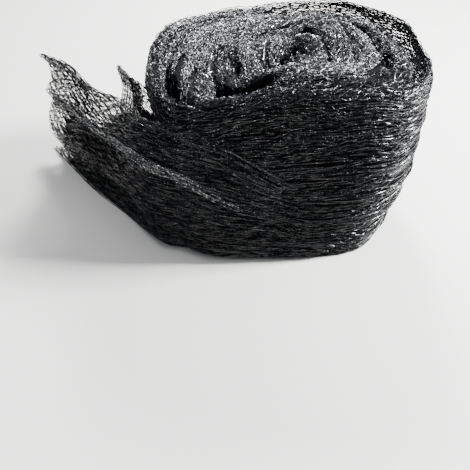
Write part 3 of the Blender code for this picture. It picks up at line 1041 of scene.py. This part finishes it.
def loose_lines(seed, rows, stitch, low, high, lift, ragged, bundle=1):
    """Strands that start on the front of the roll and run to the torn far edge. Each row
    is a bundle of strands that keep together."""
    draw = random.Random(seed)
    total = LOOSE_LENGTH + ON_WALL_LENGTH
    place, wave = stitch_wave(int(total / stitch) + 2)
    lines = []
    for number in range(rows * bundle):
        k, member = divmod(number, bundle)
        reach_in = ON_WALL_LENGTH * draw.uniform(0.12, 1.0)
        gap = (high - low) / rows
        base = low + gap * (k + 0.5)
        aside = (member - 0.5 * (bundle - 1)) * BUNDLE_STEP
        end = smooth_table(LOOSE_REACH, base) + draw.uniform(-ragged, ragged * 0.3)
        points = []
        for step, side in zip(place, wave):
            away = min(step * stitch - ON_WALL_LENGTH, end * LOOSE_LENGTH)
            along = away / LOOSE_LENGTH
            if away < -reach_in:
                continue
            parted = 0.15 + 0.50 * ease(-0.1, 0.7, along + 0.6 * (base - 0.5))
            parted *= ease(0.0, 0.05, base) * (1 - ease(0.97, 1.0, base))
            drift = 0.020 * uneven(31, along * 5, base * 6)
            drift *= math.sin(math.pi * base) ** 0.5
            loosely = aside * (1.0 + 0.6 * uneven(number, along * 4))
            up = base + (-1) ** k * side * gap * 0.5 * parted + drift + loosely
            up = min(max(up, LOWEST_UP), 1.0)
            proud = lift + 0.0010 * uneven(seed + member, along * 11, base * 31)
            if along >= 0.0:
                points.append(loose_point(along, up, proud))
                if along >= end:
                    break
                continue
            share = -away / ON_WALL_LENGTH
            angle = LOOSE_ANGLE + ON_WALL_ANGLE * share
            height = up * LOOSE_EDGE[0][1] * (1 - NARROWING * ease(0.0, 1.0, share))
            blend = ease(0.0, 0.25, share)
            lifted = LOOSE_LIFT * (1 - blend) + 0.0030 * blend + proud
            lifted -= UNDER_WALL_NET * ease(0.35, 1.0, -away / reach_in)
            points.append(on_wall(angle, max(height, 0.005), lifted))
        lines.append((np.array(points), False))
    return lines


# Seed, rows, stitch, lowest and highest share of the height, lift, and raggedness
front_net = (loose_lines(41, 26, 0.0290, 0.0, 1.0, 0.0008, 0.010, bundle=4)
             + loose_lines(47, 56, 0.0240, 0.0, 0.99, 0.0022, 0.012)
             + loose_lines(53, 64, 0.0230, 0.0, 0.98, -0.0034, 0.016)
             + loose_lines(59, 26, 0.0230, 0.0, 0.55, 0.0034, 0.030)
             + loose_lines(60, 34, 0.0270, 0.5, 1.0, -0.0012, 0.010))
loose_net = strands("loose_end_net", front_net, 0.00048, yarn)


# %% Dense part of the open end
DENSE_THICKNESS = 0.0007
DENSE_FLOOR = 0.0004  # Its lowest height above the ground


def add_dense(net, point_at, lift, top_share, end_at, columns, rows):
    """Joins the layers that lie together low in a net to it, as one thin dark sheet. Each
    row ends at its own place along, so that the edge is as uneven as a bundle of net."""
    bpy.ops.object.select_all(action="DESELECT")
    bpy.ops.mesh.primitive_grid_add(x_subdivisions=columns, y_subdivisions=rows, size=1.0)
    sheet = bpy.context.object
    for vertex in sheet.data.vertices:
        up = (vertex.co.y + 0.5) * top_share
        vertex.co = point_at((vertex.co.x + 0.5) * end_at(up), up, lift)
    solid = sheet.modifiers.new("thickness", "SOLIDIFY")
    solid.thickness = DENSE_THICKNESS
    solid.offset = 0.0
    bpy.ops.object.modifier_apply(modifier="thickness")
    for vertex in sheet.data.vertices:
        vertex.co.z = max(vertex.co.z, DENSE_FLOOR)
    bpy.ops.object.shade_smooth()
    # The sheet has the inside's black material, which is painted shade.
    sheet.data.materials.append(shade)
    net.select_set(True)
    bpy.context.view_layer.objects.active = net
    bpy.ops.object.join()


def ragged_edge(up):
    """How far the end of a dense part sways to and fro with the share of the height."""
    return 0.035 * math.sin(82 * up) + 0.025 * math.sin(190 * up + 1.0)


def dense_end(up):
    """How far along the open end is dense, at a share of its height."""
    return 0.84 - 0.60 * ease(0.34, 0.98, up) + ragged_edge(up)


add_dense(loose_net, loose_point, -0.0014, 0.94, dense_end, 80, 70)
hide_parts("loose_end")

# %% [markdown]
# Where the open end leaves the roll, a fold of it stands out and shines with painted
# highlights. It is a rope of strands that runs down from the far corner, over the seam and
# onto the front.

# %% Fold that stands out
RIDGE_STRANDS = 24
RIDGE_UP = 0.675
RIDGE_ANGLE = 40.0
RIDGE_REACH = 0.36  # What that angle is, as a share of the open end's length
RIDGE_WIDTH = 0.044
RIDGE_STEP = 0.016
# Yarn of the fold: a slightly paler dust colour, also painted light, and many bright spots,
# which are painted highlights.
ridge_yarn_painted_glint = net_material(
    "net_ridge_yarn_painted_glint",
    {"Dark": (0.003, 0.0035, 0.005, 1), "Dust And Painted Light": (0.018, 0.020, 0.024, 1),
     "Painted Glint": (0.80, 0.81, 0.83, 1), "Painted Glint From": 0.615, "Painted Shade Height": 0.04,
     "Painted Light Height": 0.12, "Painted Shade Share": 0.2, "Smooth": 0.13, "Rough": 0.36},
    specular=0.9, bump=0.5)


def ridge_lines(seed):
    """A loose rope of strands along the crest of the fold."""
    draw = random.Random(seed)
    lines = []
    for number in range(RIDGE_STRANDS):
        around = draw.uniform(0.0, math.tau)
        thick = draw.uniform(0.3, 1.0)
        first, last = draw.uniform(-0.24, -0.04), draw.uniform(0.30, 0.78)
        points = []
        for along in np.arange(first, last, RIDGE_STEP):
            swing = around + 5.0 * float(uneven(number, np.array(along) * 3))
            aside = thick * RIDGE_WIDTH * math.sin(swing)
            lifted = 0.0036 + thick * 0.0018 * math.cos(swing)
            if along >= 0.0:
                points.append(loose_point(along, RIDGE_UP + 0.10 * along + aside, lifted))
                continue
            share = -along / RIDGE_REACH
            height = (RIDGE_UP + aside) * LOOSE_EDGE[0][1] * (1 - 0.34 * ease(0.0, 0.8, share))
            angle = LOOSE_ANGLE + RIDGE_ANGLE * share
            points.append(on_wall(angle, height, lifted + 0.0012 * share))
        lines.append((np.array(points), False))
    return lines


strands("loose_end_fold", ridge_lines(71), 0.00042, ridge_yarn_painted_glint)

# %% [markdown]
# ## The second layer
#
# Behind the open end a second layer of the band stands in the angle by the roll. Only its
# pointed corner shows from the front. It is made like the first, of four nets over a dense
# sheet that ends before its corner.

# %% The back layer
BACK_ANGLE = 211.0
BACK_TWIST = 22.0  # How much further back its upper part starts than its foot
BACK_PLAN = plan_curve([tuple(root_at(BACK_ANGLE, FOOT, 0.0023)), (-0.137, -0.047),
                        (-0.152, -0.004), (-0.167, 0.040), (-0.190, 0.084),
                        (-0.1955, 0.0945)])
BACK_EDGE = ((0.0, 0.158), (0.28, 0.163), (0.47, 0.153), (0.66, 0.138), (0.9, 0.139),
             (1.0, 0.139))
BACK_REACH = ((0.0, 0.87), (0.35, 0.95), (0.62, 0.97), (0.8, 1.0), (0.92, 0.94),
              (1.0, 0.865))
BACK_LENGTH = 0.21


def back_fold(along, up):
    """Pleats of the second layer."""
    pleat = 0.0045 * math.sin(math.tau * (1.8 * up + 0.4 * along))
    return pleat * ease(0.0, 0.5, along)


def back_root(height):
    """Where the second layer leaves the wall, at a height."""
    return root_at(BACK_ANGLE - BACK_TWIST * ease(0.05, 0.15, height), height, 0.0020)


def back_point(along, up, lift):
    """Point of the second layer."""
    return sheet_point(BACK_PLAN, BACK_EDGE, back_fold, back_root, along, up, lift)


# %% Strands of the back layer
def back_lines(rows, stitch, low, high, lift):
    """Strands of the second layer, from the roll to its far edge."""
    place, wave = stitch_wave(int(BACK_LENGTH / stitch) + 2)
    lines = []
    for k in range(rows):
        base = low + (high - low) * (k + 0.5) / rows
        gap = (high - low) / rows
        end = smooth_table(BACK_REACH, base)
        points = []
        for step, side in zip(place, wave):
            along = min(step * stitch / BACK_LENGTH, end)
            if along < 0.0:
                continue
            up = min(max(base + (-1) ** k * side * gap * 0.5, LOWEST_UP), 1.0)
            points.append(back_point(along, up, lift))
            if along >= end:
                break
        lines.append((np.array(points), False))
    return lines


def back_dense_end(up):
    """How far along the second layer is dense, at a share of its height."""
    return 0.90 - 0.7 * ease(0.3, 0.80, up) + ragged_edge(up)


# Rows, stitch, lowest and highest share of the height, and lift
back_net = (back_lines(44, 0.0190, 0.0, 1.0, 0.0) + back_lines(40, 0.0220, 0.0, 0.99, 0.0016)
            + back_lines(42, 0.0200, 0.0, 0.97, -0.0030)
            + back_lines(24, 0.0210, 0.55, 1.0, 0.0008))
back_piece = strands("loose_end_back_net", back_net, 0.00050, yarn)
add_dense(back_piece, back_point, -0.0012, 0.80, back_dense_end, 50, 40)
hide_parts("loose_end_back")
